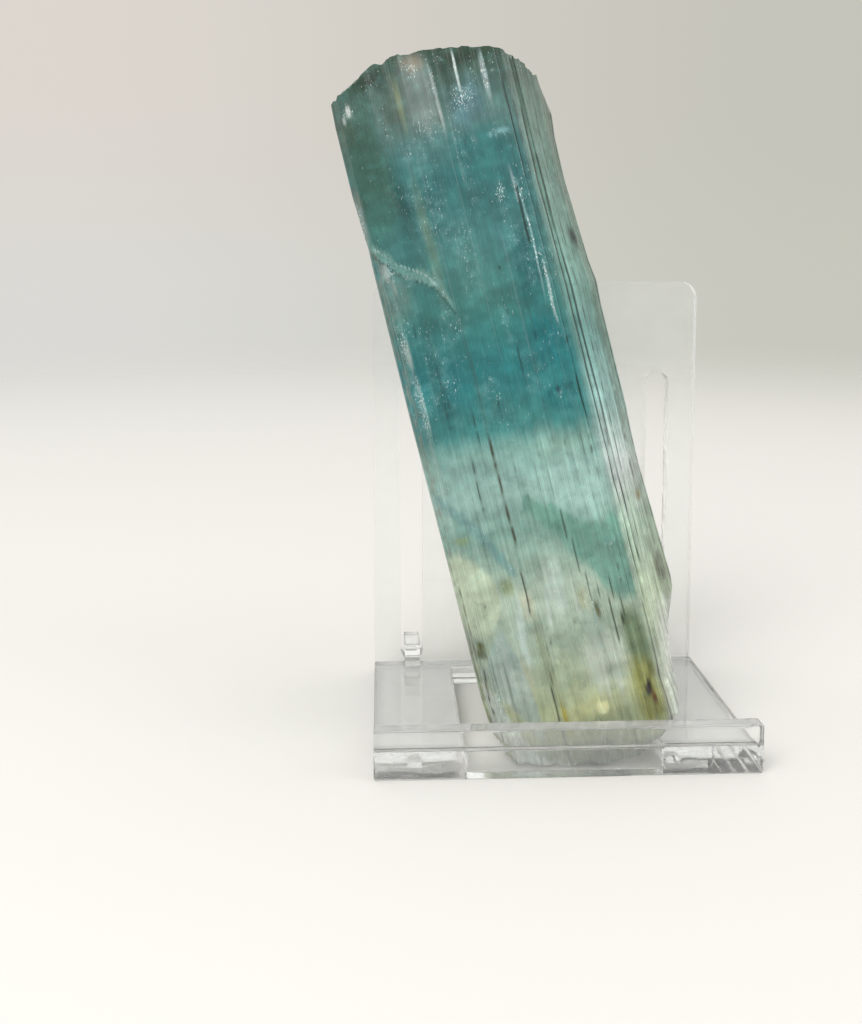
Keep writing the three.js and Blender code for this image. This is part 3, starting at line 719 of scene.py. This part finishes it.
def crystal_mesh():
    """The crystal's skin in rings from the middle of the foot to the middle of the top, painted."""
    shares = np.linspace(0, 1, WALL_RINGS)
    low, high = foot_height(*section.T), top_height(*section.T)
    heights = low + (high - low) * shares[:, None]
    depths = groove_depths(heights)
    foot_rings, foot_plain = broken_end(foot_height, depths[0], 1)
    top_rings, top_plain = broken_end(top_height, depths[-1], -1)
    walls = [placed_ring(1.0, row, deep) for row, deep in zip(heights, depths)]
    wall_plain = [np.column_stack([section, row]) for row in heights]
    rings = foot_rings[::-1] + walls + top_rings
    plain = foot_plain[::-1] + wall_plain + top_plain
    tips = np.array([[*SECTION_MIDDLE, foot_height(*SECTION_MIDDLE)],
                     [*SECTION_MIDDLE, top_height(*SECTION_MIDDLE)]])
    vertices = np.concatenate(rings + [tips]) * MM
    turn = np.array(CRYSTAL_PLACE)
    vertices = vertices @ turn[:3, :3].T + turn[:3, 3]
    around = len(section)
    here = np.arange(around)
    after = (here + 1) % around
    faces = []
    for r in range(len(rings) - 1):
        lower, upper = r * around, (r + 1) * around
        corners = [lower + here, lower + after, upper + after, upper + here]
        faces.extend(np.stack(corners, 1).tolist())
    foot_tip = len(vertices) - 2
    last = (len(rings) - 1) * around
    sides = list(zip(here.tolist(), after.tolist()))
    faces.extend([foot_tip, j, i] for i, j in sides)
    faces.extend([foot_tip + 1, last + i, last + j] for i, j in sides)
    mesh = bpy.data.meshes.new("aquamarine_prism")
    mesh.from_pydata(vertices.tolist(), [], faces)
    mesh.polygons.foreach_set("use_smooth", [True] * len(mesh.polygons))
    mesh.set_sharp_from_angle(angle=SHARP_ABOVE)

    places = np.concatenate(plain + [tips])
    on_one_end = np.ones(around * len(END_SCALES))
    is_end = np.concatenate([on_one_end, np.zeros(around * WALL_RINGS), on_one_end, [1, 1]])
    walk = np.concatenate([np.tile(walked, len(rings)), [0, 0]])
    colours, marks = paint(*places.T, walk, is_end)
    zones = mesh.attributes.new("beryl_zones", "FLOAT_COLOR", "POINT")
    zones.data.foreach_set("color", np.column_stack([colours, np.ones(len(colours))]).ravel())
    flaws = mesh.attributes.new("beryl_marks", "FLOAT_COLOR", "POINT")
    flaws.data.foreach_set("color", marks.ravel())
    return mesh


def attribute(tree, name):
    node = tree.nodes.new("ShaderNodeAttribute")
    node.attribute_name = name
    return node


BERYL_IOR = 1.577


def aquamarine():
    material, tree, surface, output = new_material("aquamarine_beryl")
    place = object_millimetres(tree, CRYSTAL_PLACE.translation, CRYSTAL_PLACE.to_euler())
    zones = attribute(tree, "beryl_zones").outputs["Color"]
    marks = attribute(tree, "beryl_marks")
    parts = tree.nodes.new("ShaderNodeSeparateColor")
    plug(tree, parts.inputs["Color"], marks.outputs["Color"])
    opaque, glint, striae = parts.outputs["Red"], parts.outputs["Green"], parts.outputs["Blue"]
    broken = marks.outputs["Alpha"]

    cloudy = grain(tree, place, (1.1, 1.1, 1.5), detail=5)
    streak = grain(tree, place, (5.0, 5.0, 0.11), detail=3)
    fine = grain(tree, place, (7.0, 7.0, 0.4), detail=2)
    sparkle = grain(tree, place, (12.0, 12.0, 6.0), detail=0)
    # paler and darker clouds inside, then light and dark threads and dark specks on striated faces
    colour = mix(tree, between(tree, cloudy, 0.5, 0.75, 0.0, 0.12), zones, (0.14, 0.60, 0.58, 1))
    colour = mix(tree, between(tree, cloudy, 0.5, 0.25, 0.0, 0.25), colour, (0.02, 0.12, 0.12, 1))
    light = number(tree, "MULTIPLY", between(tree, streak, 0.55, 0.75, 0.0, 0.45), striae)
    colour = mix(tree, light, colour, (0.45, 0.70, 0.65, 1))
    dark = number(tree, "MULTIPLY", between(tree, streak, 0.45, 0.28, 0.0, 0.5), striae)
    colour = mix(tree, dark, colour, (0.07, 0.13, 0.10, 1))
    dots = number(tree, "MULTIPLY", between(tree, fine, 0.32, 0.24, 0.0, 0.9), striae)
    colour = mix(tree, dots, colour, (0.05, 0.06, 0.035, 1))
    # haze and white sparkle round the glints, and frost on the breaks
    edge = number(tree, "SUBTRACT", 0.80, number(tree, "MULTIPLY", glint, 0.26))
    white = between(tree, sparkle, edge, number(tree, "ADD", edge, 0.10), 0.0, 0.75)
    haze = number(tree, "MULTIPLY", glint, between(tree, cloudy, 0.4, 0.65, 0.0, 0.35))
    colour = mix(tree, haze, colour, (0.36, 0.60, 0.62, 1))
    colour = mix(tree, white, colour, (0.80, 0.88, 0.88, 1))
    frosted = number(tree, "MULTIPLY", broken, between(tree, sparkle, 0.35, 0.65, 0.05, 0.3))
    colour = mix(tree, frosted, colour, (0.60, 0.66, 0.60, 1))
    plug(tree, surface.inputs["Base Color"], mix(tree, opaque, colour, zones))

    surface.inputs["IOR"].default_value = BERYL_IOR
    surface.inputs["Specular IOR Level"].default_value = 0.3
    body = between(tree, streak, 0.3, 0.7, 0.44, 0.34)
    body = number(tree, "SUBTRACT", body, number(tree, "MULTIPLY", white, 0.2))
    clear_body = number(tree, "MULTIPLY", body, number(tree, "SUBTRACT", 1.0, opaque))
    plug(tree, surface.inputs["Transmission Weight"], clear_body)
    gloss = between(tree, fine, 0.3, 0.7, 0.14, 0.3)
    plug(tree, surface.inputs["Roughness"], number(tree, "MULTIPLY_ADD", broken, 0.15, gloss))
    relief = number(tree, "MULTIPLY_ADD", fine, 0.35, number(tree, "MULTIPLY", streak, striae))
    bump(tree, surface, relief, 0.08 * MM, 0.3)
    absorb(tree, output, (0.62, 0.87, 0.85), 45.0)
    return material


BERYL = aquamarine()
prism = bpy.data.objects.new("aquamarine_prism", crystal_mesh())
bpy.context.scene.collection.objects.link(prism)
prism.data.materials.append(BERYL)
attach(prism, "root")
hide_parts("crystal")


# The table and the light round it: a pale matt surface that fades out, a large soft lamp above and
# to the left, a weaker one on the right, and a pale room with a bright ceiling, dimmer to the
# right and behind the camera.
TABLE_REACH = 0.6
TABLE_CORNERS = 96
TABLE_FADE = (0.10, 0.45)
TABLE_DROP = 0.02 * MM
LAMPS_AIM = Vector((0, 0, 0.03))


def table_top():
    material, tree, surface, _ = new_material("pale_table")
    surface.inputs["Base Color"].default_value = (0.665, 0.65, 0.632, 1)
    surface.inputs["Roughness"].default_value = 0.6
    surface.inputs["Specular IOR Level"].default_value = 0.2
    away = tree.nodes.new("ShaderNodeVectorMath")
    away.operation = "LENGTH"
    plug(tree, away.inputs[0], tree.nodes.new("ShaderNodeTexCoord").outputs["Object"])
    plug(tree, surface.inputs["Alpha"], between(tree, away.outputs["Value"], *TABLE_FADE, 1.0, 0.0))
    mesh = bpy.data.meshes.new("table")
    turns = [2 * math.pi * k / TABLE_CORNERS for k in range(TABLE_CORNERS)]
    rim = [(TABLE_REACH * math.cos(turn), TABLE_REACH * math.sin(turn), 0) for turn in turns]
    mesh.from_pydata(rim, [], [list(range(TABLE_CORNERS))])
    mesh.materials.append(material)
    table = bpy.data.objects.new("table", mesh)
    table.location.z = -TABLE_DROP
    bpy.context.scene.collection.objects.link(table)


def soft_lamp(name, place, size, power, colour):
    lamp = bpy.data.lights.new(name, "AREA")
    lamp.shape = "DISK"
    lamp.size = size
    lamp.energy = power
    lamp.color = colour
    holder = bpy.data.objects.new(name, lamp)
    holder.location = place
    holder.rotation_euler = (LAMPS_AIM - Vector(place)).to_track_quat("-Z", "Y").to_euler()
    bpy.context.scene.collection.objects.link(holder)


def pale_room():
    room = bpy.data.worlds.new("pale_room")
    room.use_nodes = True
    tree = room.node_tree
    axes = tree.nodes.new("ShaderNodeSeparateXYZ")
    plug(tree, axes.inputs[0], tree.nodes.new("ShaderNodeTexCoord").outputs["Generated"])
    wall = between(tree, axes.outputs["Z"], -0.18, -0.10)
    higher = between(tree, axes.outputs["Z"], -0.07, 0.14, 0.0, 0.5)
    left_part = mix(tree, wall, (0.90, 0.89, 0.86, 1), (0.705, 0.70, 0.67, 1))
    right_part = mix(tree, wall, (0.73, 0.74, 0.67, 1), (0.575, 0.575, 0.51, 1))
    sideways = between(tree, axes.outputs["X"], -0.3, 0.4)
    room_round = mix(tree, sideways, left_part, right_part)
    upper_wall = mix(tree, sideways, (0.735, 0.65, 0.58, 1), (0.54, 0.53, 0.47, 1))
    room_round = mix(tree, higher, room_round, upper_wall)
    overhead = between(tree, axes.outputs["Z"], 0.22, 0.38)
    room_round = mix(tree, overhead, room_round, (1.1, 1.1, 1.06, 1))
    behind = between(tree, axes.outputs["Y"], 0.1, -0.7, 0.0, 0.5)
    room_round = mix(tree, behind, room_round, (0.60, 0.61, 0.60, 1))
    plug(tree, tree.nodes["Background"].inputs["Color"], room_round)
    bpy.context.scene.world = room


table_top()
soft_lamp("overhead_lamp", (-0.16, -0.24, 0.32), 0.34, 1.2, (1.0, 0.99, 0.97))
soft_lamp("side_lamp", (0.32, -0.14, 0.24), 0.22, 0.22, (0.97, 0.99, 1.0))
pale_room()


# The camera stands a hand's width in front of the stand, a little to its left and a little above
# the crystal's middle, and looks slightly down and to the right. Its focal length and the
# picture's height are in pixels, and the two turns in degrees.
SENSOR_WIDTH = 36
FOCAL_LENGTH, PICTURE_HEIGHT = 1132, 1024
LENS_SHIFT = -0.1253
EYE = Vector((-15.13, -86.2, 42.1)) * MM
LOOKS_DOWN, LOOKS_RIGHT = 6.7, 2.6
camera = bpy.data.cameras.new("camera")
camera.sensor_width = SENSOR_WIDTH
camera.lens = SENSOR_WIDTH * FOCAL_LENGTH / PICTURE_HEIGHT
camera.shift_y = LENS_SHIFT
camera.clip_start = 0.005
viewer = bpy.data.objects.new("camera", camera)
viewer.location = LIP_MIDDLE + EYE
viewer.rotation_euler = (math.radians(90 - LOOKS_DOWN), 0, math.radians(-LOOKS_RIGHT))
bpy.context.scene.collection.objects.link(viewer)
bpy.context.scene.camera = viewer
bpy.context.scene.view_settings.view_transform = "Standard"
